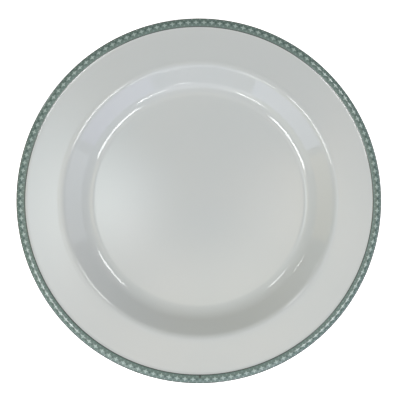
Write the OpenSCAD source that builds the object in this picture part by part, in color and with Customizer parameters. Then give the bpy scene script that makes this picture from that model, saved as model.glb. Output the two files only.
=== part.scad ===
// Rimmed china dinner plate: a fired clay body with a foot ring, the glaze over it, and a
// printed border on its raised lip. Millimetres, +Z up, origin on the table under the middle.

/* [Plate] */
// Overall diameter, over the glaze
plate_d = 270; // [245:1:330]
// Thickness of the clay from the floor to the shoulder
body_t = 3.2; // [2.6:0.1:4]

/* [Well] */
// Diameter of the flat floor
floor_d = 156; // [120:1:190]
// Radius of the hollow curve from the floor up into the wall
well_fillet_r = 19; // [16:0.5:26]
// Slope of the wall, in degrees
wall_angle = 38; // [32:1:48]
// Height of the shoulder's crest over the floor
well_depth = 12.9; // [11:0.1:17]
// Radius of the shoulder between the wall and the rim
shoulder_r = 8; // [6:0.1:10]

/* [Rim] */
// Upward slope of the rim's face, in degrees
rim_angle = 3.5; // [3:0.5:12]
// Slope by which the shoulder rolls down before the rim starts, in degrees
roll_angle = 3; // [1:0.5:6]
// Radius of the shallow hollow between the shoulder and the rim
roll_r = 10; // [6:0.5:16]
// How much steeper the rim's back is than its face, which thins the rim outwards, in degrees
back_taper = 0.8; // [0:0.1:1.2]

/* [Lip] */
// Width of the raised lip, over the glaze
lip_w = 6.6; // [5:0.1:8]
// How much steeper than the rim the lip starts, in degrees
lip_rise = 17; // [8:1:24]
// Radius of the hollow at the foot of the lip
lip_fillet_r = 6; // [1.5:0.1:8]
// Downward slope at which the lip turns into the round edge, in degrees
edge_slope = 26; // [12:1:28]
// Radius of the round edge
edge_r = 1.2; // [0.8:0.1:1.5]

/* [Foot ring] */
// Depth of the recess inside the foot ring
foot_h = 2.8; // [2.3:0.1:4]
// Distance from the floor's edge in to the middle of the foot ring
foot_inset = 5; // [4:0.1:12]
// Width of the flat that the plate stands on
bearing_w = 0.8; // [0.4:0.1:1.5]
// Slope of the foot ring's two flanks, in degrees
foot_slope = 75; // [60:1:85]
// Radius of the hollow where each flank meets the plate's underside
foot_fillet_r = 1.6; // [0.8:0.1:1.8]
// Radius between each flank and the standing flat
foot_round_r = 0.8; // [0.5:0.1:0.9]

/* [Glaze] */
// Thickness of the glaze
glaze_t = 0.2; // [0.1:0.05:0.4]

/* [Border] */
// Thickness of one printed colour
print_t = 0.06; // [0.04:0.01:0.12]
// Width of the dark line along the lip's inner side
inner_line_w = 0.5; // [0.3:0.05:0.9]
// How much of the edge's round the dark line takes, in degrees
edge_line_turn = 60; // [30:1:60]
// Number of whole crosses round the border
cross_count = 140; // [100:1:150]
// Direction of the seam where the border's two ends meet, in degrees
seam_angle = 270; // [0:1:359]
// Gap between the two crosses beside the seam, in pitches
seam_gap = 1.76; // [1.4:0.02:2]

/* [Motifs] */
// Length of a cross along the border
cross_len = 4.3; // [2:0.1:4.8]
// Length of a cross across the border
cross_h = 3.5; // [1.6:0.1:3.6]
// Distance from a cross's middle to the notch between two points
cross_waist = 0.8; // [0.4:0.05:0.9]
// Width of an outer dot along the border
outer_dot_w = 1.2; // [0.6:0.1:1.4]
// Width of an outer dot across the border
outer_dot_h = 0.8; // [0.4:0.1:1]
// Width of an inner dot along the border
inner_dot_w = 1.6; // [0.6:0.1:2]
// Width of an inner dot across the border
inner_dot_h = 1.2; // [0.6:0.1:1.5]
// Clear ground between the outer dots and the edge line
outer_margin = 0.1; // [0.05:0.05:0.3]
// Clear ground between the inner dots and the inner line
inner_margin = 0.3; // [0.05:0.05:0.5]
// Clear ground between a lozenge and the dots on its two sides
dot_gap = 0.45; // [0.1:0.05:0.5]
// Clear ground between a lozenge's tip and a cross's tip
tip_gap = 0.05; // [0.02:0.01:0.3]
// Width of the dark tick in the seam, along the border
tick_w = 1.1; // [0.6:0.1:1.5]
// Length of the dark tick across the border
tick_len = 1.8; // [0.2:0.1:1.8]

/* [Hidden] */
$fn = 240;

china_colour = "#e9ebe8";
glaze_colour = "#eef1ef";
ground_colour = "#6f8680";
dark_colour = "#4c5c56";
lozenge_colour = "#5b726b";
pale_colour = "#b4c8c2";
soft_colour = "#93a8a1";

// ---- Outlines ------------------------------------------------------------------------------
// An outline is walked from a pose [x, z, heading]. A move is [length, 0] for a straight stretch
// and [radius, turn] for an arc, with a positive turn to the left. Walking it with an offset
// gives the parallel outline that far to the left, so coats and prints fit what they lie on. An
// arc is drawn as chords that leave it by no more than chord_gap.
chord_gap = 0.02;

function left(heading) = [-sin(heading), cos(heading)];
function spot(pose, off) = [pose[0], pose[1]] + off * left(pose[2]);
function arc_spot(pose, radius, turn, done, off) =
    let (side = sign(turn) * radius)
    [pose[0], pose[1]] + side * left(pose[2]) + (off - side) * left(pose[2] + done);
function move_points(move, pose, off) =
    move[1] == 0
        ? [spot(after(move, pose), off)]
        : let (steps = ceil(abs(move[1]) / (2 * acos(1 - chord_gap / move[0]))))
          [for (k = [1:steps]) arc_spot(pose, move[0], move[1], move[1] * k / steps, off)];
function after(move, pose) =
    let (ahead = [cos(pose[2]), sin(pose[2])],
         end = move[1] == 0 ? spot(pose, 0) + move[0] * ahead
                            : arc_spot(pose, move[0], move[1], move[1], 0))
    [end[0], end[1], pose[2] + move[1]];
function pose_after(moves, pose, i = 0) =
    i == len(moves) ? pose : pose_after(moves, after(moves[i], pose), i + 1);
function tail(moves, pose, off, i = 0) =
    i == len(moves) ? []
                    : concat(move_points(moves[i], pose, off),
                             tail(moves, after(moves[i], pose), off, i + 1));
function outline(moves, pose, off = 0) = concat([spot(pose, off)], tail(moves, pose, off));
function backwards(points) = [for (k = [len(points) - 1:-1:0]) points[k]];
function without_first(points) = [for (k = [1:len(points) - 1]) points[k]];

// ---- Face, from the middle out to the widest point -----------------------------------------
body_r = plate_d / 2 - glaze_t;
floor_z = foot_h + body_t;
curve_rise = (well_fillet_r + shoulder_r) * (1 - cos(wall_angle));
wall_len = (well_depth - curve_rise) / sin(wall_angle);
lip_angle = rim_angle + lip_rise;
lip_top_r = (lip_w - glaze_t - edge_r * (1 - sin(edge_slope))) / (sin(lip_angle) + sin(edge_slope));
inner_line_turn = inner_line_w / lip_top_r * 180 / PI;

face_start = [0, floor_z, 0];
well_moves = [[floor_d / 2, 0],
              [well_fillet_r, wall_angle],
              [wall_len, 0],
              [shoulder_r, -(wall_angle + roll_angle)],
              [roll_r, roll_angle + rim_angle]];
rim_start = pose_after(well_moves, face_start);
hollow_w = lip_fillet_r * (sin(lip_angle) - sin(rim_angle));
rim_w = body_r - (lip_w - glaze_t) - hollow_w - rim_start[0];
rim_moves = [[rim_w / cos(rim_angle), 0],
             [lip_fillet_r, lip_rise]];
inner_line_moves = [[lip_top_r, -inner_line_turn]];
ground_moves = [[lip_top_r, -(lip_angle - inner_line_turn + edge_slope)],
                [edge_r, -(90 - edge_slope - edge_line_turn)]];
edge_line_moves = [[edge_r, -edge_line_turn]];
inner_line_start = pose_after(concat(well_moves, rim_moves), face_start);
ground_start = pose_after(inner_line_moves, inner_line_start);
edge_line_start = pose_after(ground_moves, ground_start);
face_moves = concat(well_moves, rim_moves, inner_line_moves, ground_moves, edge_line_moves);
face_end = pose_after(face_moves, face_start);

// ---- Back, from the middle out to the same point -------------------------------------------
foot_curve_h = (foot_fillet_r + foot_round_r) * (1 - cos(foot_slope));
flank_len = (foot_h - foot_curve_h) / sin(foot_slope);
foot_half_w = (foot_fillet_r + foot_round_r) * sin(foot_slope) + flank_len * cos(foot_slope)
              + bearing_w / 2;
foot_r = floor_d / 2 - foot_inset;
back_start = [0, foot_h, 0];
recess_moves = [[foot_r - foot_half_w, 0],
                [foot_fillet_r, -foot_slope],
                [flank_len, 0]];
bare_moves = [[foot_round_r, foot_slope],
              [bearing_w, 0],
              [foot_round_r, foot_slope]];
bare_start = pose_after(recess_moves, back_start);
outer_back_start = pose_after(bare_moves, bare_start);
rim_back_angle = rim_angle + back_taper;
under_moves = [[flank_len, 0],
               [foot_fillet_r, -foot_slope],
               [foot_inset - foot_half_w, 0],
               [well_fillet_r + body_t, wall_angle],
               [wall_len, 0],
               [shoulder_r - body_t, rim_back_angle - wall_angle]];
rim_back_start = pose_after(under_moves, outer_back_start);
// The edge's lower round is as large as fits under the widest point.
rim_back_z = rim_back_start[1] + (face_end[0] - rim_back_start[0]) * tan(rim_back_angle);
edge_turn = 90 - rim_back_angle;
edge_leg = face_end[1] - rim_back_z;
edge_back_r = edge_leg / tan(edge_turn / 2);
rim_back_len = (face_end[0] - rim_back_start[0]) / cos(rim_back_angle) - edge_leg;
outer_back_moves = concat(under_moves, [[rim_back_len, 0], [edge_back_r, edge_turn]]);
back_moves = concat(recess_moves, bare_moves, outer_back_moves);

// ---- Border layout -------------------------------------------------------------------------
pitch = 360 / (cross_count - 1 + seam_gap);
first_cross = seam_angle + seam_gap * pitch / 2;
// Depths are measured from the plate's edge inwards, seen from above.
cross_depth = lip_w / 2;
pitch_len = (plate_d / 2 - cross_depth) * pitch * PI / 180;
edge_line_depth = (edge_r + glaze_t) * (1 - cos(edge_line_turn));
outer_dot_depth = edge_line_depth + outer_margin + outer_dot_h / 2;
inner_dot_depth = lip_w - inner_line_w - inner_margin - inner_dot_h / 2;
lozenge_low = outer_dot_depth + outer_dot_h / 2 + dot_gap;
lozenge_high = inner_dot_depth - inner_dot_h / 2 - dot_gap;
lozenge_depth = (lozenge_low + lozenge_high) / 2;
lozenge_w = pitch_len - cross_len - 2 * tip_gap;
// Higher than the lip's crest, which is less than half the lip's width over the edge
print_top = face_end[1] + lip_w;

// Turns an outline round the plate's axis
module turned(points) {
    rotate_extrude() polygon(points);
}

// A coat on the face between two heights over the clay
module face_coat(moves, start, low, high) {
    turned(concat(outline(moves, start, high), backwards(outline(moves, start, low))));
}

// Keeps what its children print of the second colour, over the border's ground
module overprint() {
    low = glaze_t + print_t;
    intersection() {
        face_coat(ground_moves, ground_start, low, low + print_t);
        children();
    }
}

// Stamps a flat motif through the lip at a place counted in pitches from the first cross
module stamp(place, depth) {
    rotate([0, 0, first_cross + place * pitch])
        translate([plate_d / 2 - depth, 0, 0])
            linear_extrude(print_top) children();
}

// Four points along and across the border, with a notch between each two
module four_points(length, height, waist) {
    notch = waist * sin(45);
    polygon([[height / 2, 0], [notch, notch], [0, length / 2], [-notch, notch],
             [-height / 2, 0], [-notch, -notch], [0, -length / 2], [notch, -notch]]);
}

// A diamond along and across the border
module lozenge(length, height) {
    polygon([[height / 2, 0], [0, length / 2], [-height / 2, 0], [0, -length / 2]]);
}

// ---- Sub-parts -----------------------------------------------------------------------------
// The fired clay, pressed in one piece with its foot ring
module china_body() {
    face = outline(face_moves, face_start);
    back = outline(back_moves, back_start);
    color(china_colour) turned(concat(face, without_first(backwards(back))));
}

// The glaze over the face, the edge and the back down to the foot ring's bare standing edge
module main_glaze() {
    outside = concat(outline(face_moves, face_start, glaze_t),
                     without_first(backwards(outline(outer_back_moves, outer_back_start, -glaze_t))));
    inside = concat(outline(outer_back_moves, outer_back_start),
                    without_first(backwards(outline(face_moves, face_start))));
    color(glaze_colour) turned(concat(outside, inside));
}

// The glaze inside the foot ring, which the bare standing edge parts from the rest
module recess_glaze() {
    color(glaze_colour)
        turned(concat(outline(recess_moves, back_start),
                      backwards(outline(recess_moves, back_start, -glaze_t))));
}

// The band of ground colour
module border_ground() {
    color(ground_colour) face_coat(ground_moves, ground_start, glaze_t, glaze_t + print_t);
}

// The dark line that closes the border on its inner side
module inner_line() {
    color(dark_colour)
        face_coat(inner_line_moves, inner_line_start, glaze_t, glaze_t + print_t);
}

// The dark line round the plate's edge
module edge_line() {
    color(dark_colour) face_coat(edge_line_moves, edge_line_start, glaze_t, glaze_t + print_t);
}

// The row of pale four-pointed crosses
module cross_row() {
    color(pale_colour) overprint()
        for (i = [0:cross_count - 1])
            stamp(i, cross_depth) four_points(cross_len, cross_h, cross_waist);
}

// The darker lozenges between them
module lozenge_row() {
    color(lozenge_colour) overprint()
        for (i = [0:cross_count])
            stamp(i - 0.5, lozenge_depth) lozenge(lozenge_w, lozenge_high - lozenge_low);
}

// The pale dots along the edge
module outer_dot_row() {
    color(pale_colour) overprint()
        for (i = [0:cross_count])
            stamp(i - 0.5, outer_dot_depth) lozenge(outer_dot_w, outer_dot_h);
}

// The softer dots along the inner line
module inner_dot_row() {
    color(soft_colour) overprint()
        for (i = [0:cross_count])
            stamp(i - 0.5, inner_dot_depth) lozenge(inner_dot_w, inner_dot_h);
}

// The broken cross where the border's two ends meet
module seam_cross() {
    color(soft_colour) overprint()
        stamp(-seam_gap / 2, cross_depth)
            intersection() {
                four_points(cross_len, cross_h, cross_waist);
                translate([0, -cross_waist]) square(cross_h);
            }
}

// The dark tick beside it, on the border's inner half
module seam_tick() {
    color(dark_colour) overprint()
        stamp(-seam_gap / 2, inner_dot_depth) square([tick_len, tick_w], center = true);
}

china_body();
main_glaze();
recess_glaze();
border_ground();
inner_line();
edge_line();
cross_row();
lozenge_row();
outer_dot_row();
inner_dot_row();
seam_cross();
seam_tick();
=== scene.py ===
"""China dinner plate with a printed border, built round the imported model.

Everything is in metres in the row frame: +Z up along the plate's axis, origin on the table under
its middle. The plate is turned from outlines that are walked in straights and arcs, and the
border's motifs are one small solid each, carried round the lip by Geometry Nodes.
"""

from __future__ import annotations

import logging
import math
from dataclasses import dataclass, field
from enum import Enum

import bmesh
import bpy
from mathutils import Matrix, Vector


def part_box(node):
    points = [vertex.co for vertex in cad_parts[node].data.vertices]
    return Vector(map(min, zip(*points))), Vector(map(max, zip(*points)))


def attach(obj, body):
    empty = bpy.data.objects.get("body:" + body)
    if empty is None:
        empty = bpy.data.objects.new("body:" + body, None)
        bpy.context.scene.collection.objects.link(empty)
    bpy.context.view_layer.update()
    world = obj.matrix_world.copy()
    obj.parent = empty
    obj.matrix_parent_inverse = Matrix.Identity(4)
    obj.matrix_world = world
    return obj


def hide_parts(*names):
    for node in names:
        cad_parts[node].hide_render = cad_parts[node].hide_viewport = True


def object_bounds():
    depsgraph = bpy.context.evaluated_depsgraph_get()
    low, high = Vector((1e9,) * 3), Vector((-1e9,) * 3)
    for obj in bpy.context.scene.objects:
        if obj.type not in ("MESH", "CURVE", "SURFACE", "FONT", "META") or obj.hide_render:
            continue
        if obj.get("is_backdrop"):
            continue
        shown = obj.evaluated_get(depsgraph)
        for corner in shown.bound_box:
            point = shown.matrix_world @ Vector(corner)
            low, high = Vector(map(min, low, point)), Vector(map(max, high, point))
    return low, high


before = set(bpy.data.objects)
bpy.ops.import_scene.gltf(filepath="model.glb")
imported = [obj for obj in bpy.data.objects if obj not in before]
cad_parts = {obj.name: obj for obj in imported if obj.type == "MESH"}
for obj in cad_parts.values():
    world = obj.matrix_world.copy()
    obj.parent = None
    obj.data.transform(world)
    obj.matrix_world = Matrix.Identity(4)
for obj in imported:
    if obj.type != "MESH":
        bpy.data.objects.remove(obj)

MM = 0.001
MERGE_DISTANCE = 0.001 * MM
SHORTEST_EDGE = 0.0001 * MM
CRISP_BEND = 35.0  # degrees; edges that bend by more are drawn crisp
LOG = logging.getLogger("plate")
Point = tuple[float, float]
Colour = tuple[float, float, float, float]


# ---- Helpers -------------------------------------------------------------------------------
def linear(srgb_hex: str) -> Colour:
    """Turns an sRGB hex colour into the linear colour that shaders read.

    Args:
        srgb_hex: Six hex digits, with or without a leading #.

    Returns:
        Linear red, green and blue, with alpha 1.
    """
    digits = srgb_hex.lstrip("#")
    parts = [int(digits[i : i + 2], 16) / 255 for i in (0, 2, 4)]
    values = [c / 12.92 if c <= 0.04045 else ((c + 0.055) / 1.055) ** 2.4 for c in parts]
    return (values[0], values[1], values[2], 1.0)


def add_node(
    tree: bpy.types.NodeTree,
    kind: str,
    inputs: dict[int | str, object] | None = None,
    **settings: object,
) -> bpy.types.Node:
    """Adds one node with its settings, values and links.

    Args:
        tree: The tree that gets the node.
        kind: The node's type, such as ShaderNodeBump.
        inputs: Input name or number, to a value or to the output socket that feeds it.
        **settings: The node's own properties.

    Returns:
        The new node.
    """
    node = tree.nodes.new(kind)
    for name, value in settings.items():
        setattr(node, name, value)
    for key, value in (inputs or {}).items():
        if isinstance(value, bpy.types.NodeSocket):
            tree.links.new(value, node.inputs[key])
        else:
            node.inputs[key].default_value = value
    return node


def mesh_object(name: str, points: list[Vector], edges: list, faces: list) -> bpy.types.Object:
    """Makes a mesh object at the origin and links it to the scene.

    Args:
        name: The object's and the mesh's name.
        points: Vertex places in metres.
        edges: Pairs of vertex numbers, for loose edges.
        faces: Tuples of vertex numbers.

    Returns:
        The object.
    """
    mesh = bpy.data.meshes.new(name)
    mesh.from_pydata(points, edges, faces)
    piece = bpy.data.objects.new(name, mesh)
    bpy.context.scene.collection.objects.link(piece)
    return piece


def disc(name: str, radius: float, z: float, faces_up: bool) -> bpy.types.Object:
    """Makes a flat disc round the vertical axis.

    Args:
        name: The object's name.
        radius: Its radius, in metres.
        z: Its height, in metres.
        faces_up: True to face up, False to face down.

    Returns:
        The object.
    """
    count = 64
    turns = [math.tau * i / count for i in range(count)]
    ring = [Vector((radius * math.cos(turn), radius * math.sin(turn), z)) for turn in turns]
    order = range(count) if faces_up else reversed(range(count))
    return mesh_object(name, ring, [], [tuple(order)])


def node_group(name: str, inputs: dict[str, str], output: str) -> bpy.types.NodeTree:
    """Starts a Geometry Nodes tree with named inputs and one geometry output.

    Args:
        name: The tree's name.
        inputs: Each input's name and its kind, such as Float.
        output: The output's name.

    Returns:
        The tree.
    """
    tree = bpy.data.node_groups.new(name, "GeometryNodeTree")
    for label, kind in inputs.items():
        tree.interface.new_socket(label, in_out="INPUT", socket_type=f"NodeSocket{kind}")
    tree.interface.new_socket(output, in_out="OUTPUT", socket_type="NodeSocketGeometry")
    return tree


def set_input(modifier: bpy.types.NodesModifier, name: str, value: object) -> None:
    """Sets a Geometry Nodes input by the identifier of the socket with that name."""
    for item in modifier.node_group.interface.items_tree:
        if item.name == name and item.in_out == "INPUT":
            modifier[item.identifier] = value
            return
    raise KeyError(name)


def run_nodes(
    piece: bpy.types.Object, tree: bpy.types.NodeTree, values: dict[str, object]
) -> bpy.types.Object:
    """Runs a Geometry Nodes tree on a piece and keeps the result as its plain mesh.

    Args:
        piece: The object whose mesh goes in.
        tree: The tree to run.
        values: Input names and their values.

    Returns:
        The same object, with the new mesh and no modifier.
    """
    modifier = piece.modifiers.new("build", "NODES")
    modifier.node_group = tree
    for name, value in values.items():
        set_input(modifier, name, value)
    graph = bpy.context.evaluated_depsgraph_get()
    mesh = bpy.data.meshes.new_from_object(piece.evaluated_get(graph))
    piece.modifiers.remove(modifier)
    old, piece.data = piece.data, mesh
    mesh.name = piece.name
    bpy.data.meshes.remove(old)
    return piece


# ---- Finishes ------------------------------------------------------------------------------
class Slot(Enum):
    """The record's material slots."""

    BARE = "bare_china"
    GLAZE = "clear_glaze"
    SAGE = "sage_print"
    DARK = "dark_print"
    DEEP = "deep_print"
    PALE = "pale_print"
    SOFT = "soft_print"


@dataclass(frozen=True)
class Finish:
    """A finish with its own Principled shader.

    Attributes:
        name: The material's common name.
        slot: The record's slot that it stands for.
        colour: sRGB hex of the surface's main colour.
        roughness: The gloss surface's roughness.
        ior: Refractive index, 1.5 for a lead-free glaze.
    """

    name: str
    slot: Slot
    colour: str
    roughness: float
    ior: float = 1.5

    def shader(self) -> tuple[bpy.types.Material, bpy.types.NodeTree, bpy.types.Node]:
        """Starts the material with its constants on the shader's own sockets.

        Returns:
            The material, its node tree and its Principled shader.
        """
        material = bpy.data.materials.new(self.name)
        material.use_nodes = True
        material.diffuse_color = linear(self.colour)
        tree = material.node_tree
        tree.nodes.clear()
        surface = {"Roughness": self.roughness, "IOR": self.ior}
        shader = add_node(tree, "ShaderNodeBsdfPrincipled", surface)
        add_node(tree, "ShaderNodeOutputMaterial", {"Surface": shader.outputs["BSDF"]})
        return material, tree, shader

    def vary(
        self,
        shader: bpy.types.Node,
        other: str,
        share: bpy.types.NodeSocket,
        height: float,
        relief: bpy.types.NodeSocket,
    ) -> None:
        """Mixes a second colour into the first and raises the surface.

        Args:
            shader: The Principled shader.
            other: sRGB hex of the second colour.
            share: The pattern that brings in the second colour.
            height: Height of the relief, in metres.
            relief: The pattern that raises the surface.
        """
        tree = shader.id_data
        colours = {0: share, 6: linear(self.colour), 7: linear(other)}
        tint = add_node(tree, "ShaderNodeMix", colours, data_type="RGBA")
        bump = add_node(tree, "ShaderNodeBump", {"Distance": height, "Height": relief})
        tree.links.new(tint.outputs[2], shader.inputs["Base Color"])
        tree.links.new(bump.outputs["Normal"], shader.inputs["Normal"])

    def material(self) -> bpy.types.Material:
        """Builds the material. Each finish says how."""
        raise NotImplementedError


@dataclass(frozen=True)
class GlazedChina(Finish):
    """Bone china under a fired gloss glaze.

    Dipped and fired glaze flows out to a near mirror, so the eye gets sharp highlights on a
    cool white body. It keeps a long, very low ripple, and it is a shade bluer where it pooled.

    Attributes:
        pool_colour: sRGB hex of the glaze where it is thickest.
        ripple: Length of the glaze's ripple, in metres.
        ripple_height: Height of that ripple, in metres.
        cloud: Size of the slow colour change, in metres.
    """

    pool_colour: str = "e0e6e6"
    ripple: float = 9 * MM
    ripple_height: float = 0.0008 * MM
    cloud: float = 70 * MM

    def material(self) -> bpy.types.Material:
        """Builds the glaze: a faint cloud in the colour and a low ripple in the surface."""
        material, tree, shader = self.shader()
        place = add_node(tree, "ShaderNodeTexCoord").outputs["Object"]
        cloud = add_node(
            tree, "ShaderNodeTexNoise", {"Vector": place, "Scale": 1 / self.cloud, "Detail": 2.0}
        )
        ripple = add_node(
            tree, "ShaderNodeTexNoise", {"Vector": place, "Scale": 1 / self.ripple, "Detail": 1.0}
        )
        clouds, ripples = cloud.outputs["Fac"], ripple.outputs["Fac"]
        self.vary(shader, self.pool_colour, clouds, self.ripple_height, ripples)
        return material


@dataclass(frozen=True)
class BareChina(Finish):
    """Bone china that was wiped clean of glaze before firing, then polished.

    It gives the eye a matt, warmer white with a fine sugary grain, grey where it has stood.

    Attributes:
        worn_colour: sRGB hex of the greyed standing edge.
        grain: Size of the body's grain, drawn ten times its real size so that it shows.
        grain_height: Depth of that grain, in metres.
        wear_height: How far up from the table the wear reaches, in metres.
    """

    worn_colour: str = "b9b4aa"
    grain: float = 0.25 * MM
    grain_height: float = 0.01 * MM
    wear_height: float = 0.35 * MM

    def material(self) -> bpy.types.Material:
        """Builds the bare edge: grain in the surface and wear by height over the table."""
        material, tree, shader = self.shader()
        place = add_node(tree, "ShaderNodeTexCoord").outputs["Object"]
        height = add_node(tree, "ShaderNodeSeparateXYZ", {"Vector": place}).outputs["Z"]
        wear = add_node(
            tree,
            "ShaderNodeMapRange",
            {"Value": height, "From Min": 0.0, "From Max": self.wear_height,
             "To Min": 1.0, "To Max": 0.0},
        )
        grain = add_node(
            tree, "ShaderNodeTexNoise", {"Vector": place, "Scale": 1 / self.grain, "Detail": 3.0}
        )
        patchy = add_node(
            tree,
            "ShaderNodeMath",
            {0: wear.outputs["Result"], 1: grain.outputs["Fac"]},
            operation="MULTIPLY",
        )
        patches, grains = patchy.outputs["Value"], grain.outputs["Fac"]
        self.vary(shader, self.worn_colour, patches, self.grain_height, grains)
        return material


@dataclass(frozen=True)
class TransferColour(Finish):
    """Ceramic colour from a screen-printed transfer, fired into the glaze.

    It keeps the glaze's gloss a little dulled, and the screen leaves a fine mottle in it.

    Attributes:
        thin_colour: sRGB hex where the print is thin.
        mottle: Size of the mottle, drawn about three times the screen's dots so that it shows.
        mottle_height: Height of the print's texture, in metres.
    """

    thin_colour: str = "ffffff"
    mottle: float = 0.35 * MM
    mottle_height: float = 0.002 * MM

    def material(self) -> bpy.types.Material:
        """Builds the print: a fine mottle in the colour and a low texture in the surface."""
        material, tree, shader = self.shader()
        place = add_node(tree, "ShaderNodeTexCoord").outputs["Object"]
        mottle = add_node(
            tree, "ShaderNodeTexNoise", {"Vector": place, "Scale": 1 / self.mottle, "Detail": 2.0}
        )
        speckle = mottle.outputs["Fac"]
        self.vary(shader, self.thin_colour, speckle, self.mottle_height, speckle)
        return material


@dataclass(frozen=True)
class Cupboard:
    """Every finish on the plate, made once."""

    finishes: tuple[Finish, ...] = (
        GlazedChina("glazed bone china", Slot.GLAZE, "e6e9e7", 0.04),
        BareChina("unglazed bone china", Slot.BARE, "ece7db", 0.6),
        TransferColour("sage transfer colour", Slot.SAGE, "758a84", 0.14, thin_colour="7f948e"),
        TransferColour("dark transfer colour", Slot.DARK, "4f5552", 0.14, thin_colour="5b625e"),
        TransferColour("deep transfer colour", Slot.DEEP, "5d736d", 0.14, thin_colour="667d77"),
        TransferColour("pale transfer colour", Slot.PALE, "b4c8c2", 0.14, thin_colour="bfd1cb"),
        TransferColour("soft transfer colour", Slot.SOFT, "8ca19b", 0.14, thin_colour="96aaa4"),
    )

    def open(self) -> dict[Slot, bpy.types.Material]:
        """Builds the materials.

        Returns:
            Each slot's material.
        """
        return {finish.slot: finish.material() for finish in self.finishes}


# ---- Outlines ------------------------------------------------------------------------------
@dataclass(frozen=True)
class Pose:
    """A place on an outline and the way it heads, in metres and degrees."""

    x: float
    z: float
    heading: float

    def left(self, turn: float = 0.0) -> Point:
        """The unit vector to the left of the heading, after a turn."""
        angle = math.radians(self.heading + turn)
        return (-math.sin(angle), math.cos(angle))

    def spot(self, offset: float) -> Point:
        """The point that far to the left."""
        across = self.left()
        return (self.x + offset * across[0], self.z + offset * across[1])


@dataclass(frozen=True)
class Move:
    """A straight of a length, or an arc of a radius when turn isn't 0 (positive turns left)."""

    size: float
    turn: float = 0.0

    def spot(self, pose: Pose, share: float, offset: float) -> Point:
        """The point part way along the move, that far to its left.

        Args:
            pose: Where the move starts.
            share: How far along it, from 0 to 1.
            offset: Distance to the left, in metres.

        Returns:
            The point.
        """
        if not self.turn:
            angle = math.radians(pose.heading)
            x, z = pose.spot(offset)
            run = self.size * share
            return (x + run * math.cos(angle), z + run * math.sin(angle))
        side = math.copysign(self.size, self.turn)
        start, end = pose.left(), pose.left(self.turn * share)
        return (
            pose.x + side * start[0] + (offset - side) * end[0],
            pose.z + side * start[1] + (offset - side) * end[1],
        )

    def end(self, pose: Pose) -> Pose:
        """The pose after the move."""
        x, z = self.spot(pose, 1.0, 0.0)
        return Pose(x, z, pose.heading + self.turn)


@dataclass(frozen=True)
class Walk:
    """A run of moves from a pose."""

    start: Pose
    moves: tuple[Move, ...]

    def end(self) -> Pose:
        """The pose after the last move."""
        pose = self.start
        for move in self.moves:
            pose = move.end(pose)
        return pose

    def then(self, *moves: Move) -> Walk:
        """A walk that carries on from this one's end."""
        return Walk(self.end(), moves)

    def points(self, offset: float, fineness: float) -> list[Point]:
        """The parallel outline that far to the left, as points.

        Args:
            offset: Distance to the left, in metres.
            fineness: Longest chord of an arc, in metres. Arcs also step by at most 6 degrees.

        Returns:
            The points from start to end.
        """
        found = [self.start.spot(offset)]
        pose = self.start
        for move in self.moves:
            steps = 1
            if move.turn:
                arc = abs(math.radians(move.turn)) * move.size
                steps = max(math.ceil(arc / fineness), math.ceil(abs(move.turn) / 6))
            found += [move.spot(pose, (k + 1) / steps, offset) for k in range(steps)]
            pose = move.end(pose)
        return found


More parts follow.
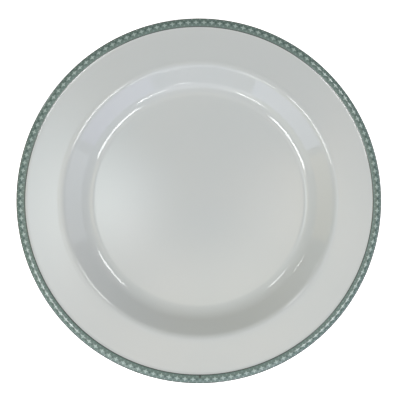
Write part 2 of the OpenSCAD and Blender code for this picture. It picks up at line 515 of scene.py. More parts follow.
@dataclass
class PlateShape:
    """The plate's section, worked out from the frame and from a few sizes of its own.

    Attributes:
        radius: The plate's radius over the glaze.
        glaze: Thickness of the glaze.
        print_t: Thickness of one printed colour.
        recess: Depth of the recess inside the foot ring.
        body: Thickness of the clay.
        floor_r: Radius of the flat floor.
        fillet_r: Radius of the hollow curve from the floor up into the wall.
        wall_angle: Slope of the wall, in degrees.
        well_depth: Height of the shoulder's crest over the floor.
        shoulder_r: Radius of the shoulder.
        rim_angle: Slope of the rim, in degrees.
        roll_angle: Slope by which the shoulder rolls down before the rim, in degrees.
        roll_r: Radius of the shallow hollow between the shoulder and the rim.
        back_taper: How much steeper the rim's back is, in degrees.
        lip_w: Width of the raised lip, over the glaze.
        lip_rise: How much steeper than the rim the lip starts, in degrees.
        lip_fillet_r: Radius of the hollow at the foot of the lip.
        edge_slope: Downward slope where the round edge starts, in degrees.
        edge_r: Radius of the round edge.
        inner_line_w: Width of the dark line on the lip's inner side.
        edge_line_turn: How much of the edge's round the dark line takes, in degrees.
        foot_inset: Distance from the floor's edge in to the middle of the foot ring.
        bearing_w: Width of the flat that the plate stands on.
        foot_slope: Slope of the foot ring's flanks, in degrees.
        foot_fillet_r: Radius between a flank and the underside.
        foot_round_r: Radius between a flank and the standing flat.
        wall_len: Length of the wall's straight stretch.
        lip_r: Radius of the lip's crest.
        well: The clay's face from the middle to the end of the hollow behind the shoulder.
        rim: The flat rim and the hollow at the foot of the lip.
        inner_line: The stretch of the lip under the inner dark line.
        ground: The stretch of the lip under the printed ground.
        edge_line: The stretch of the round edge under the edge's dark line.
        foot_inside: The recess and the ring's inner flank.
        foot_bare: The ring's standing edge.
        foot_outside: The ring's outer flank and the back, up to the edge.
    """

    radius: float
    glaze: float
    print_t: float
    recess: float
    body: float = 3.2 * MM
    floor_r: float = 78 * MM
    fillet_r: float = 19 * MM
    wall_angle: float = 38.0
    well_depth: float = 12.9 * MM
    shoulder_r: float = 8 * MM
    rim_angle: float = 3.5
    roll_angle: float = 3.0
    roll_r: float = 10 * MM
    back_taper: float = 0.8
    lip_w: float = 6.6 * MM
    lip_rise: float = 17.0
    lip_fillet_r: float = 6 * MM
    edge_slope: float = 26.0
    edge_r: float = 1.2 * MM
    inner_line_w: float = 0.5 * MM
    edge_line_turn: float = 60.0
    foot_inset: float = 5 * MM
    bearing_w: float = 0.8 * MM
    foot_slope: float = 75.0
    foot_fillet_r: float = 1.6 * MM
    foot_round_r: float = 0.8 * MM
    wall_len: float = field(init=False)
    lip_r: float = field(init=False)
    well: Walk = field(init=False)
    rim: Walk = field(init=False)
    inner_line: Walk = field(init=False)
    ground: Walk = field(init=False)
    edge_line: Walk = field(init=False)
    foot_inside: Walk = field(init=False)
    foot_bare: Walk = field(init=False)
    foot_outside: Walk = field(init=False)

    @classmethod
    def from_frame(cls) -> PlateShape:
        """Reads the overall sizes and the coats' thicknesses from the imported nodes' boxes."""
        clay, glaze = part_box("china_body"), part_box("main_glaze")
        line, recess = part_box("edge_line"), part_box("recess_glaze")
        coat = glaze[1][0] - clay[1][0]
        return cls(
            radius=glaze[1][0],
            glaze=coat,
            print_t=line[1][0] - glaze[1][0],
            recess=recess[1][2],
        )

    def __post_init__(self) -> None:
        """Walks the face from the middle out, then the back from the middle out."""
        self._walk_face()
        self._walk_back()

    def _walk_face(self) -> None:
        """Lays out the well, the rim and the lip's three stretches."""
        bend = 1 - math.cos(math.radians(self.wall_angle))
        straight = self.well_depth - (self.fillet_r + self.shoulder_r) * bend
        self.wall_len = straight / math.sin(math.radians(self.wall_angle))
        lip_angle = self.rim_angle + self.lip_rise
        self.well = Walk(
            Pose(0.0, self.recess + self.body, 0.0),
            (
                Move(self.floor_r),
                Move(self.fillet_r, self.wall_angle),
                Move(self.wall_len),
                Move(self.shoulder_r, -(self.wall_angle + self.roll_angle)),
                Move(self.roll_r, self.roll_angle + self.rim_angle),
            ),
        )
        sine = {a: math.sin(math.radians(a)) for a in (lip_angle, self.rim_angle, self.edge_slope)}
        lip_clay = self.lip_w - self.glaze
        hollow = self.lip_fillet_r * (sine[lip_angle] - sine[self.rim_angle])
        flat = self.radius - self.glaze - lip_clay - hollow - self.well.end().x
        self.rim = self.well.then(
            Move(flat / math.cos(math.radians(self.rim_angle))),
            Move(self.lip_fillet_r, self.lip_rise),
        )
        top_w = lip_clay - self.edge_r * (1 - sine[self.edge_slope])
        self.lip_r = top_w / (sine[lip_angle] + sine[self.edge_slope])
        line_turn = math.degrees(self.inner_line_w / self.lip_r)
        self.inner_line = self.rim.then(Move(self.lip_r, -line_turn))
        self.ground = self.inner_line.then(
            Move(self.lip_r, -(lip_angle - line_turn + self.edge_slope)),
            Move(self.edge_r, -(90 - self.edge_slope - self.edge_line_turn)),
        )
        self.edge_line = self.ground.then(Move(self.edge_r, -self.edge_line_turn))

    def _walk_back(self) -> None:
        """Lays out the recess, the foot ring and the back, up to the edge's widest point."""
        slope = math.radians(self.foot_slope)
        curve_h = (self.foot_fillet_r + self.foot_round_r) * (1 - math.cos(slope))
        flank = (self.recess - curve_h) / math.sin(slope)
        half = (self.foot_fillet_r + self.foot_round_r) * math.sin(slope)
        half += flank * math.cos(slope) + self.bearing_w / 2
        foot_r = self.floor_r - self.foot_inset
        self.foot_inside = Walk(
            Pose(0.0, self.recess, 0.0),
            (
                Move(foot_r - half),
                Move(self.foot_fillet_r, -self.foot_slope),
                Move(flank),
            ),
        )
        self.foot_bare = self.foot_inside.then(
            Move(self.foot_round_r, self.foot_slope),
            Move(self.bearing_w),
            Move(self.foot_round_r, self.foot_slope),
        )
        back_angle = self.rim_angle + self.back_taper
        under = self.foot_bare.then(
            Move(flank),
            Move(self.foot_fillet_r, -self.foot_slope),
            Move(self.foot_inset - half),
            Move(self.fillet_r + self.body, self.wall_angle),
            Move(self.wall_len),
            Move(self.shoulder_r - self.body, back_angle - self.wall_angle),
        )
        widest, turn_in = self.edge_line.end(), under.end()
        reach = widest.x - turn_in.x
        leg = widest.z - turn_in.z - reach * math.tan(math.radians(back_angle))
        turn = 90 - back_angle
        self.foot_outside = Walk(
            under.start,
            under.moves
            + (
                Move(reach / math.cos(math.radians(back_angle)) - leg),
                Move(leg / math.tan(math.radians(turn / 2)), turn),
            ),
        )

    def face(self) -> Walk:
        """The whole face, from the middle to the widest point."""
        parts = (self.well, self.rim, self.inner_line, self.ground, self.edge_line)
        return Walk(self.well.start, sum((part.moves for part in parts), ()))

    def lip_point(self, radius: float, angle: float, lift: float) -> Vector:
        """A point that far over the clay's lip.

        Args:
            radius: Distance from the plate's axis on the clay, in metres.
            angle: Direction round the axis, in radians.
            lift: Height over the clay along the lip's normal, in metres.

        Returns:
            The point.
        """
        start = self.inner_line.start
        across = start.left()
        centre_x = start.x - self.lip_r * across[0]
        centre_z = start.z - self.lip_r * across[1]
        lean = math.asin((radius - centre_x) / self.lip_r)
        reach = self.lip_r + lift
        x = centre_x + reach * math.sin(lean)
        return Vector((x * math.cos(angle), x * math.sin(angle), centre_z + reach * math.cos(lean)))


# ---- Turned pieces -------------------------------------------------------------------------
class Lathe:
    """A Geometry Nodes tree that turns a closed outline round the plate's axis."""

    def __init__(self) -> None:
        """Builds the tree: a grid whose rows are the outline and whose columns go round."""
        inputs = {"Outline": "Geometry", "Points": "Int", "Steps": "Int",
                  "Merge Distance": "Float", "Finish": "Material"}
        self.tree = tree = node_group("turned outline", inputs, "Piece")
        given = add_node(tree, "NodeGroupInput").outputs
        sums = "ShaderNodeMath"
        columns = add_node(tree, sums, {0: given["Steps"], 1: 1.0}, operation="ADD").outputs[0]
        grid = add_node(
            tree, "GeometryNodeMeshGrid", {"Vertices X": columns, "Vertices Y": given["Points"]}
        ).outputs["Mesh"]
        index = add_node(tree, "GeometryNodeInputIndex").outputs[0]
        in_row = {0: index, 1: given["Points"]}
        row = add_node(tree, sums, in_row, operation="MODULO").outputs[0]
        rows_before = add_node(tree, sums, in_row, operation="DIVIDE").outputs[0]
        column = add_node(tree, sums, {0: rows_before}, operation="FLOOR").outputs[0]
        of_steps = {0: column, 1: given["Steps"]}
        wrapped = add_node(tree, sums, of_steps, operation="MODULO").outputs[0]
        of_steps = {0: wrapped, 1: given["Steps"]}
        share = add_node(tree, sums, of_steps, operation="DIVIDE").outputs[0]
        of_turn = {0: share, 1: math.tau}
        angle = add_node(tree, sums, of_turn, operation="MULTIPLY").outputs[0]
        place = add_node(tree, "GeometryNodeInputPosition").outputs[0]
        sample = add_node(
            tree,
            "GeometryNodeSampleIndex",
            {"Geometry": given["Outline"], "Value": place, "Index": row},
            data_type="FLOAT_VECTOR",
        ).outputs[0]
        turned = add_node(
            tree,
            "ShaderNodeVectorRotate",
            {"Vector": sample, "Angle": angle},
            rotation_type="Z_AXIS",
        ).outputs[0]
        bent = add_node(
            tree, "GeometryNodeSetPosition", {"Geometry": grid, "Position": turned}
        ).outputs[0]
        merged = add_node(
            tree,
            "GeometryNodeMergeByDistance",
            {"Geometry": bent, "Distance": given["Merge Distance"]},
        ).outputs[0]
        smooth = add_node(tree, "GeometryNodeSetShadeSmooth", {"Geometry": merged}).outputs[0]
        real = add_node(tree, "GeometryNodeRealizeInstances", {"Geometry": smooth}).outputs[0]
        dressed = add_node(
            tree, "GeometryNodeSetMaterial", {"Geometry": real, "Material": given["Finish"]}
        ).outputs[0]
        add_node(tree, "NodeGroupOutput", {"Piece": dressed})

    def turn(
        self, name: str, outline: list[Point], steps: int, finish: bpy.types.Material
    ) -> bpy.types.Object:
        """Turns a closed outline into a solid piece.

        Args:
            name: The piece's name.
            outline: The outline's points as (radius, height), not repeating the first.
            steps: Number of steps round the axis.
            finish: The piece's material.

        Returns:
            The piece, as a plain closed mesh with its faces outwards.
        """
        ring = outline + outline[:1]
        points = [Vector((x, 0.0, z)) for x, z in ring]
        chain = [(i, i + 1) for i in range(len(ring) - 1)]
        piece = mesh_object(name, points, chain, [])
        values = {
            "Points": len(ring),
            "Steps": steps,
            "Merge Distance": MERGE_DISTANCE,
            "Finish": finish,
        }
        run_nodes(piece, self.tree, values)
        tidy_mesh(piece.data)
        sharpen(piece.data)
        return piece


def tidy_mesh(mesh: bpy.types.Mesh) -> None:
    """Drops faces without area and turns the rest outwards."""
    work = bmesh.new()
    work.from_mesh(mesh)
    bmesh.ops.dissolve_degenerate(work, dist=SHORTEST_EDGE, edges=work.edges)
    bmesh.ops.recalc_face_normals(work, faces=work.faces)
    work.to_mesh(mesh)
    work.free()
    mesh.update()


def sharpen(mesh: bpy.types.Mesh) -> None:
    """Marks the edges that bend by more than the crisp bend as sharp."""
    work = bmesh.new()
    work.from_mesh(mesh)
    limit = math.radians(CRISP_BEND)
    for edge in work.edges:
        edge.smooth = not (edge.is_manifold and edge.calc_face_angle(0.0) > limit)
    work.to_mesh(mesh)
    work.free()


def tie(piece: bpy.types.Object, node: str) -> bpy.types.Object:
    """Ties a piece to the frame in place of a CAD node."""
    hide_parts(node)
    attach(piece, "root")
    return piece


@dataclass
class Ware:
    """The clay and its glaze.

    Attributes:
        shape: The plate's section.
        finishes: The materials by slot.
        lathe: The tree that turns outlines.
        steps: Number of steps round the axis.
        chord: Longest chord along an arc of the section, in metres.
        hidden_chord: The same where another coat hides the surface.
        bare_chord: The same on the foot ring's standing edge.
    """

    shape: PlateShape
    finishes: dict[Slot, bpy.types.Material]
    lathe: Lathe
    steps: int = 480
    chord: float = 0.7 * MM
    hidden_chord: float = 3 * MM
    bare_chord: float = 0.15 * MM

    def build(self) -> list[bpy.types.Object]:
        """Makes the clay body and its two coats of glaze.

        Returns:
            The pieces.
        """
        return [self._clay(), self._main_glaze(), self._recess_glaze()]

    def _clay(self) -> bpy.types.Object:
        """The fired clay, of which only the foot ring's standing edge shows."""
        shape, chord = self.shape, self.hidden_chord
        face = shape.face().points(0.0, chord)
        inside = shape.foot_inside.points(0.0, chord)
        bare = shape.foot_bare.points(0.0, self.bare_chord)
        outside = shape.foot_outside.points(0.0, chord)
        back = inside + bare[1:] + outside[1:-1]
        return self._finish("clay_body", face + back[::-1], Slot.BARE, "china_body")

    def _main_glaze(self) -> bpy.types.Object:
        """The glaze over the face, the edge and the back."""
        shape, coat = self.shape, self.shape.glaze
        outer = shape.face().points(coat, self.chord)
        outer += shape.foot_outside.points(-coat, self.chord)[-2::-1]
        inner = shape.foot_outside.points(0.0, self.hidden_chord)
        inner += shape.face().points(0.0, self.hidden_chord)[-2::-1]
        return self._finish("gloss_glaze", outer + inner, Slot.GLAZE, "main_glaze")

    def _recess_glaze(self) -> bpy.types.Object:
        """The glaze inside the foot ring."""
        walk, coat = self.shape.foot_inside, self.shape.glaze
        loop = walk.points(0.0, self.chord) + walk.points(-coat, self.chord)[::-1]
        return self._finish("foot_recess_glaze", loop, Slot.GLAZE, "recess_glaze")

    def _finish(self, name: str, loop: list[Point], slot: Slot, node: str) -> bpy.types.Object:
        """Turns one outline and ties the piece to the frame.

        Args:
            name: The piece's name.
            loop: Its closed outline.
            slot: Its finish.
            node: The CAD node that it stands for.

        Returns:
            The piece.
        """
        return tie(self.lathe.turn(name, loop, self.steps, self.finishes[slot]), node)


# ---- Border --------------------------------------------------------------------------------
class RowTree:
    """A Geometry Nodes tree that carries one motif round the plate's axis."""

    def __init__(self) -> None:
        """Builds the tree: a copy of the motif at each step of the pitch."""
        inputs = {"Motif": "Geometry", "Count": "Int", "First Angle": "Float",
                  "Pitch Angle": "Float", "Finish": "Material"}
        self.tree = tree = node_group("motif row", inputs, "Row")
        given = add_node(tree, "NodeGroupInput").outputs
        points = add_node(tree, "GeometryNodePoints", {"Count": given["Count"]}).outputs[0]
        index = add_node(tree, "GeometryNodeInputIndex").outputs[0]
        angle = add_node(
            tree,
            "ShaderNodeMath",
            {0: index, 1: given["Pitch Angle"], 2: given["First Angle"]},
            operation="MULTIPLY_ADD",
        ).outputs[0]
        turn = add_node(tree, "ShaderNodeCombineXYZ", {"Z": angle}).outputs[0]
        row = add_node(
            tree,
            "GeometryNodeInstanceOnPoints",
            {"Points": points, "Instance": given["Motif"], "Rotation": turn},
        ).outputs[0]
        real = add_node(tree, "GeometryNodeRealizeInstances", {"Geometry": row}).outputs[0]
        dressed = add_node(
            tree, "GeometryNodeSetMaterial", {"Geometry": real, "Material": given["Finish"]}
        ).outputs[0]
        add_node(tree, "NodeGroupOutput", {"Row": dressed})


@dataclass(frozen=True)
class Motif:
    """One printed motif, as an outline on the lip.

    Attributes:
        outline: Points as (depth from the motif's middle towards the plate's axis, distance
            along the border), in metres, seen from above.
        depth: Distance from the plate's edge in to the motif's middle, in metres.
    """

    outline: tuple[Point, ...]
    depth: float

    def solid(self, name: str, shape: PlateShape, low: float) -> bpy.types.Object:
        """Makes the motif as a thin closed solid at angle 0, bent to the lip.

        Args:
            name: The object's name.
            shape: The plate's section.
            low: Height of its underside over the clay, in metres.

        Returns:
            The object.
        """
        rings = (0.0, 0.5, 1.0)
        count = len(self.outline)
        points: list[Vector] = []
        for lift in (low, low + shape.print_t):
            for share in rings:
                spots = self.outline if share else ((0.0, 0.0),)
                points += [self._place(shape, spot, share, lift) for spot in spots]
        layer = 1 + 2 * count
        faces: list[tuple[int, ...]] = []
        for i in range(count):
            j = (i + 1) % count
            for base, flip in ((0, True), (layer, False)):
                inner = (base, base + 1 + i, base + 1 + j)
                outer = (base + 1 + i, base + 1 + count + i, base + 1 + count + j, base + 1 + j)
                faces += [inner[::-1], outer[::-1]] if flip else [inner, outer]
            side = (1 + count + i, 1 + count + j, layer + 1 + count + j, layer + 1 + count + i)
            faces.append(side)
        piece = mesh_object(name, points, [], faces)
        tidy_mesh(piece.data)
        return piece

    def _place(self, shape: PlateShape, spot: Point, share: float, lift: float) -> Vector:
        """A spot of the outline, drawn in towards the middle, on the lip."""
        radius = shape.radius - self.depth - spot[0] * share
        return shape.lip_point(radius, spot[1] * share / radius, lift)


@dataclass
class Border:
    """The printed border on the lip.

    Attributes:
        shape: The plate's section.
        finishes: The materials by slot.
        lathe: The tree that turns outlines.
        rows: The tree that carries motifs round.
        cross_count: Number of whole crosses.
        seam_angle: Direction of the seam, in degrees.
        seam_gap: Gap between the two crosses beside the seam, in pitches.
        cross_len: Length of a cross along the border.
        cross_h: Length of a cross across the border.
        cross_waist: Distance from its middle to the notch between two points.
        stump_share: Length of the broken cross's lost arm, as a share of the waist.
        outer_dot_w: Width of an outer dot along the border.
        outer_dot_h: Width of an outer dot across the border.
        inner_dot_w: Width of an inner dot along the border.
        inner_dot_h: Width of an inner dot across the border.
        outer_margin: Clear ground between the outer dots and the edge line.
        inner_margin: Clear ground between the inner dots and the inner line.
        dot_gap: Clear ground between a lozenge and the dots on its two sides.
        tip_gap: Clear ground between a lozenge's tip and a cross's tip.
        tick_w: Width of the dark tick in the seam, along the border.
        tick_len: Length of the dark tick across the border.
        steps: Number of steps round the axis.
        chord: Longest chord along an arc of the bands' section, in metres.
    """

    shape: PlateShape
    finishes: dict[Slot, bpy.types.Material]
    lathe: Lathe
    rows: RowTree
    cross_count: int = 140
    seam_angle: float = 270.0
    seam_gap: float = 1.76
    cross_len: float = 4.3 * MM
    cross_h: float = 3.5 * MM
    cross_waist: float = 0.8 * MM
    stump_share: float = 0.9
    outer_dot_w: float = 1.2 * MM
    outer_dot_h: float = 0.8 * MM
    inner_dot_w: float = 1.6 * MM
    inner_dot_h: float = 1.2 * MM
    outer_margin: float = 0.1 * MM
    inner_margin: float = 0.3 * MM
    dot_gap: float = 0.45 * MM
    tip_gap: float = 0.05 * MM
    tick_w: float = 1.1 * MM
    tick_len: float = 1.8 * MM
    steps: int = 480
    chord: float = 0.2 * MM

    def build(self) -> list[bpy.types.Object]:
        """Makes the bands, the rows of motifs and the seam.

        Returns:
            The pieces.
        """
        return self._bands() + self._rows() + self._seam()

    def _bands(self) -> list[bpy.types.Object]:
        """The ground and its two dark lines, which lie side by side on the glaze."""
        shape = self.shape
        low, high = shape.glaze, shape.glaze + shape.print_t
        kinds = (
            ("sage_band", shape.ground, Slot.SAGE, "border_ground"),
            ("dark_inner_line", shape.inner_line, Slot.DARK, "inner_line"),
            ("dark_edge_line", shape.edge_line, Slot.DARK, "edge_line"),
        )
        made = []
        for name, walk, slot, node in kinds:
            loop = walk.points(high, self.chord) + walk.points(low, self.chord)[::-1]
            piece = self.lathe.turn(name, loop, self.steps, self.finishes[slot])
            made.append(tie(piece, node))
        return made

    def _rows(self) -> list[bpy.types.Object]:
        """The rows of crosses, lozenges and dots, over the ground."""
        shape = self.shape
        edge_turn = math.radians(shape.edge_line_turn)
        edge_w = (shape.edge_r + shape.glaze) * (1 - math.cos(edge_turn))
        middle = shape.lip_w / 2
        outer = edge_w + self.outer_margin + self.outer_dot_h / 2
        inner = shape.lip_w - shape.inner_line_w - self.inner_margin - self.inner_dot_h / 2
        low = outer + self.outer_dot_h / 2 + self.dot_gap
        high = inner - self.inner_dot_h / 2 - self.dot_gap
        pitch_len = (shape.radius - middle) * math.radians(self.pitch)
        lozenge_w = pitch_len - self.cross_len - 2 * self.tip_gap
        whole, between = 0.0, -0.5
        cross = self._four_points(self.cross_len, self.cross_h, self.cross_waist)
        kinds = (
            ("pale_crosses", Motif(cross, middle), whole, Slot.PALE, "cross_row"),
            ("deep_lozenges", Motif(self._lozenge(lozenge_w, high - low), (low + high) / 2),
             between, Slot.DEEP, "lozenge_row"),
            ("pale_outer_dots", Motif(self._lozenge(self.outer_dot_w, self.outer_dot_h), outer),
             between, Slot.PALE, "outer_dot_row"),
            ("soft_inner_dots", Motif(self._lozenge(self.inner_dot_w, self.inner_dot_h), inner),
             between, Slot.SOFT, "inner_dot_row"),
        )
        return [self._row(*kind) for kind in kinds]

    def _seam(self) -> list[bpy.types.Object]:
        """The broken cross and the tick where the border's two ends meet."""
        half, notch = self.cross_len / 2, self.cross_waist * math.sin(math.pi / 4)
        reach = self.cross_h / 2
        stump = self.stump_share * min(self.cross_waist, half)
        broken = ((0.0, -stump), (-notch, -notch), (-reach, 0.0), (-notch, notch), (0.0, half))
        deep, wide = self.tick_len / 2, self.tick_w / 2
        tick = ((deep, -wide), (-deep, -wide), (-deep, wide), (deep, wide))
        inner = self.shape.lip_w - self.shape.inner_line_w - self.inner_margin
        middle = self.shape.lip_w / 2
        place = -self.seam_gap / 2
        kinds = (
            ("seam_broken_cross", Motif(broken, middle), place, Slot.SOFT, "seam_cross", 1),
            ("seam_dark_tick", Motif(tick, inner - self.inner_dot_h / 2), place, Slot.DARK,
             "seam_tick", 1),
        )
        return [self._row(*kind) for kind in kinds]

    def _row(
        self, name: str, motif: Motif, first: float, slot: Slot, node: str, count: int = 0
    ) -> bpy.types.Object:
        """Carries one motif round the border.

        Args:
            name: The piece's name.
            motif: The motif.
            first: Place of the first copy, in pitches from the first cross.
            slot: Its finish.
            node: The CAD node that it stands for.
            count: Number of copies, or 0 for one to each cross and one more between them.

        Returns:
            The row as one piece.
        """
        low = self.shape.glaze + self.shape.print_t
        piece = motif.solid(name, self.shape, low)
        whole = self.cross_count if first == 0 else self.cross_count + 1
        start = self.seam_angle + (self.seam_gap / 2 + first) * self.pitch
        values = {
            "Count": count or whole,
            "First Angle": math.radians(start),
            "Pitch Angle": math.radians(self.pitch),
            "Finish": self.finishes[slot],
        }
        return tie(run_nodes(piece, self.rows.tree, values), node)

    @property
    def pitch(self) -> float:
        """Angle from one cross to the next, in degrees."""
        return 360 / (self.cross_count - 1 + self.seam_gap)

    @staticmethod
    def _four_points(length: float, height: float, waist: float) -> tuple[Point, ...]:
        """Four points along and across the border, with a notch between each two."""
        notch, half, reach = waist * math.sin(math.pi / 4), length / 2, height / 2
        return ((-reach, 0.0), (-notch, notch), (0.0, half), (notch, notch),
                (reach, 0.0), (notch, -notch), (0.0, -half), (-notch, -notch))

    @staticmethod
    def _lozenge(length: float, height: float) -> tuple[Point, ...]:
        """A diamond along and across the border."""
        return ((-height / 2, 0.0), (0.0, length / 2), (height / 2, 0.0), (0.0, -length / 2))


# ---- Studio --------------------------------------------------------------------------------
@dataclass(frozen=True)
class Softbox:
    """A rectangular soft light aimed at the plate.

    Attributes:
        name: The light's name.
        azimuth: Direction from the plate, in degrees from +X.
        elevation: Height over the horizon, in degrees.
        width: Its width, in metres.
        height: Its height, in metres.
        power: Its power, in watts.
        distance: Distance from the plate, in metres.
        colour: sRGB hex of its light.
    """

    name: str
    azimuth: float
    elevation: float
    width: float
    height: float
    power: float
    distance: float = 1.5
    colour: str = "ffffff"

    def place(self, target: Vector) -> bpy.types.Object:
        """Adds the light, turned to the target.

        Args:
            target: What it lights.

        Returns:
            The light.
        """
        light = bpy.data.lights.new(self.name, "AREA")
        light.shape = "RECTANGLE"
        light.size, light.size_y = self.width, self.height
        light.energy = self.power
        light.color = linear(self.colour)[:3]
        lamp = bpy.data.objects.new(self.name, light)
        bpy.context.scene.collection.objects.link(lamp)
        turn, rise = math.radians(self.azimuth), math.radians(self.elevation)
        flat = math.cos(rise)
        away = Vector((math.cos(turn) * flat, math.sin(turn) * flat, math.sin(rise)))
        lamp.location = target + away * self.distance
        lamp.rotation_euler = away.to_track_quat("Z", "Y").to_euler()
        return lamp


class Ring(Enum):
    """The two rings that the diffusers hang in: distance out and a diffuser's radius."""

    NEAR = (0.19, 0.17)
    FAR = (0.345, 0.24)


@dataclass(frozen=True)
class GlowPanel:
    """A round diffuser that hangs over the plate, fades out to its edge and lets light through.

    Attributes:
        name: The panel's name.
        ring: The ring that it hangs in.
        azimuth: Its direction from the rings' middle, in degrees from +X.
        strength: Brightness of its middle.
        colour: sRGB hex of its light.
    """

    name: str
    ring: Ring
    azimuth: float
    strength: float
    colour: str

    def place(self, middle: Vector) -> bpy.types.Object:
        """Hangs the panel.

        Args:
            middle: Middle of the rings at the panel's height.

        Returns:
            The panel.
        """
        reach, radius = self.ring.value
        turn = math.radians(self.azimuth)
        panel = disc(self.name, radius, 0.0, faces_up=False)
        panel.location = middle + Vector((reach * math.cos(turn), reach * math.sin(turn), 0.0))
        material = bpy.data.materials.new("glowing diffuser cloth")
        material.use_nodes = True
        tree = material.node_tree
        tree.nodes.clear()
        place = add_node(tree, "ShaderNodeTexCoord").outputs["Object"]
        spread = add_node(tree, "ShaderNodeVectorMath", {0: place}, operation="LENGTH")
        fade = add_node(
            tree,
            "ShaderNodeMapRange",
            {"Value": spread.outputs["Value"], "From Min": 0.0, "From Max": radius,
             "To Min": self.strength, "To Max": 0.0},
            interpolation_type="SMOOTHSTEP",
        )
        glow = add_node(
            tree,
            "ShaderNodeEmission",
            {"Color": linear(self.colour), "Strength": fade.outputs["Result"]},
        )
        clear = add_node(tree, "ShaderNodeBsdfTransparent")
        both = add_node(tree, "ShaderNodeAddShader", {0: glow.outputs[0], 1: clear.outputs[0]})
        add_node(tree, "ShaderNodeOutputMaterial", {"Surface": both.outputs[0]})
        panel.data.materials.append(material)
        panel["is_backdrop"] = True
        return panel


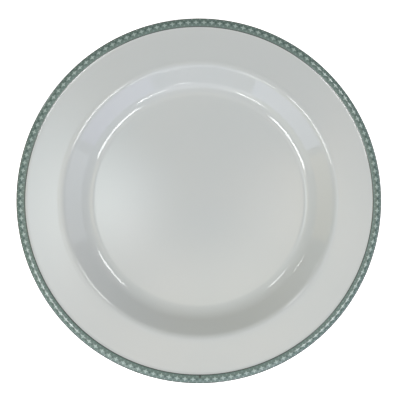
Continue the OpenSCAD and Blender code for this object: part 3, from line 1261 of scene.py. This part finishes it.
@dataclass
class Studio:
    """The floor, the soft light and the camera.

    Attributes:
        lens: Focal length in millimetres.
        sensor: Sensor width in millimetres.
        fill: Share of the frame's width that the plate takes.
        lean: How far the camera leans from straight above, in degrees.
        lean_azimuth: Which way it leans, in degrees from +X.
        floor_r: Radius of the floor, in metres.
        paper: sRGB hex of the floor.
        paper_roughness: The floor's roughness.
        paper_glow: Light that the floor gives off, which keeps it an even near-white.
        sky: Brightness of the even light from all round.
        boxes: The soft lights.
        glow_x: Middle of the diffusers' rings to the right of the plate's axis, in metres.
        glow_y: The same behind the plate's axis.
        glow_height: Height of the lowest diffuser over the floor, in metres.
        glow_step: Height from one diffuser to the next, so that none cuts another.
        glows: The diffusers overhead, from the lowest up.
    """

    lens: float = 85.0
    sensor: float = 36.0
    fill: float = 0.9158
    lean: float = 2.3
    lean_azimuth: float = 217.0
    floor_r: float = 6.0
    paper: str = "f7f7f7"
    paper_roughness: float = 0.9
    paper_glow: float = 0.8
    sky: float = 0.04
    boxes: tuple[Softbox, ...] = (
        Softbox("front left window", 225, 45, 0.80, 0.50, 0.85, 1.0, "f8ffd8"),
        Softbox("front window", 270, 45, 0.80, 0.50, 1.75, 1.0, "eff1fa"),
        Softbox("low right window", 0, 22, 0.80, 0.40, 1.25, 1.2, "f6fbff"),
        Softbox("low left window", 180, 22, 0.80, 0.40, 0.90, 1.2, "ffdf9c"),
        Softbox("low front left window", 225, 22, 0.80, 0.40, 1.85, 1.2, "dbe2ff"),
        Softbox("low front right window", 315, 22, 0.80, 0.40, 1.25, 1.2, "d2cbff"),
        Softbox("left strip", 212, 71, 0.32, 0.20, 2.50),
        Softbox("right strip", 326, 68, 0.33, 0.22, 2.50),
        Softbox("back right strip", 38, 56, 0.30, 0.20, 1.80),
        Softbox("back left strip", 129, 66, 0.13, 0.16, 0.50),
        Softbox("front left lamp", 245, 51, 0.26, 0.06, 0.90),
        Softbox("front right lamp", 298, 45, 0.30, 0.06, 0.90),
        Softbox("low front right lamp", 282, 28, 0.26, 0.03, 0.40),
        Softbox("low back left lamp", 145, 29, 0.20, 0.05, 0.60),
        Softbox("low left lamp", 162, 32, 0.10, 0.04, 0.15),
    )
    glow_x: float = 0.045
    glow_y: float = 0.034
    glow_height: float = 1.4
    glow_step: float = 0.005
    glows: tuple[GlowPanel, ...] = (
        GlowPanel("right diffuser", Ring.FAR, 0, 1.70, "ffeab8"),
        GlowPanel("near right diffuser", Ring.NEAR, 0, 1.28, "ffeed6"),
        GlowPanel("back left diffuser", Ring.FAR, 135, 0.38, "e9fffa"),
        GlowPanel("left diffuser", Ring.FAR, 180, 1.40, "fff3cc"),
        GlowPanel("near left diffuser", Ring.NEAR, 180, 3.40, "f0faff"),
        GlowPanel("near front left diffuser", Ring.NEAR, 225, 0.81, "ffe7d8"),
        GlowPanel("near front diffuser", Ring.NEAR, 270, 0.97, "ffe7b8"),
        GlowPanel("near front right diffuser", Ring.NEAR, 315, 1.18, "ffefca"),
    )

    def build(self) -> None:
        """Sets up the whole studio."""
        low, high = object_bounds()
        self._camera(low, high)
        self._floor(low)
        self._sky()
        target = Vector((0.0, 0.0, high.z))
        for box in self.boxes:
            box.place(target)
        for i, glow in enumerate(self.glows):
            height = low.z + self.glow_height + i * self.glow_step
            glow.place(Vector((self.glow_x, self.glow_y, height)))
        bpy.context.scene.view_settings.view_transform = "Standard"

    def _camera(self, low: Vector, high: Vector) -> None:
        """Stands the camera over the plate so that the plate fills its share of the frame."""
        data = bpy.data.cameras.new("camera")
        data.lens, data.sensor_width = self.lens, self.sensor
        camera = bpy.data.objects.new("camera", data)
        bpy.context.scene.collection.objects.link(camera)
        distance = (high.x - low.x) / self.fill * self.lens / self.sensor
        lean, turn = math.radians(self.lean), math.radians(self.lean_azimuth)
        away = Vector((math.sin(lean) * math.cos(turn), math.sin(lean) * math.sin(turn),
                       math.cos(lean)))
        aim = Vector((0.0, 0.0, high.z))
        camera.location = aim + away * distance
        camera.rotation_euler = self._upright(away).to_euler()
        bpy.context.scene.camera = camera

    @staticmethod
    def _upright(away: Vector) -> Matrix:
        """The camera's turn: looking against a direction, with +Y up in the picture."""
        back = away.normalized()
        right = Vector((0.0, 1.0, 0.0)).cross(back).normalized()
        up = back.cross(right)
        return Matrix((right, up, back)).transposed()

    def _floor(self, low: Vector) -> None:
        """Lays the plain pale floor under the plate."""
        floor = disc("floor", self.floor_r, low.z, faces_up=True)
        material = bpy.data.materials.new("pale floor paper")
        material.use_nodes = True
        tree = material.node_tree
        tree.nodes.clear()
        white = linear(self.paper)
        paper = add_node(
            tree,
            "ShaderNodeBsdfPrincipled",
            {"Base Color": white, "Roughness": self.paper_roughness, "Emission Color": white,
             "Emission Strength": self.paper_glow},
        )
        add_node(tree, "ShaderNodeOutputMaterial", {"Surface": paper.outputs["BSDF"]})
        floor.data.materials.append(material)
        floor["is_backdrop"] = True

    def _sky(self) -> None:
        """Fills the room with an even, soft light."""
        world = bpy.data.worlds.new("room")
        world.use_nodes = True
        world.node_tree.nodes.clear()
        light = add_node(
            world.node_tree,
            "ShaderNodeBackground",
            {"Color": linear("ffffff"), "Strength": self.sky},
        )
        add_node(world.node_tree, "ShaderNodeOutputWorld", {"Surface": light.outputs[0]})
        bpy.context.scene.world = world


def main() -> None:
    """Builds the plate and its studio, and reports each piece."""
    logging.basicConfig(level=logging.INFO, format="%(name)s: %(message)s")
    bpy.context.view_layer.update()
    finishes = Cupboard().open()
    shape = PlateShape.from_frame()
    lathe = Lathe()
    pieces = Ware(shape, finishes, lathe).build()
    pieces += Border(shape, finishes, lathe, RowTree()).build()
    for piece in pieces:
        LOG.info("%s: %d faces", piece.name, len(piece.data.polygons))
    Studio().build()


if __name__ == "__main__":
    main()
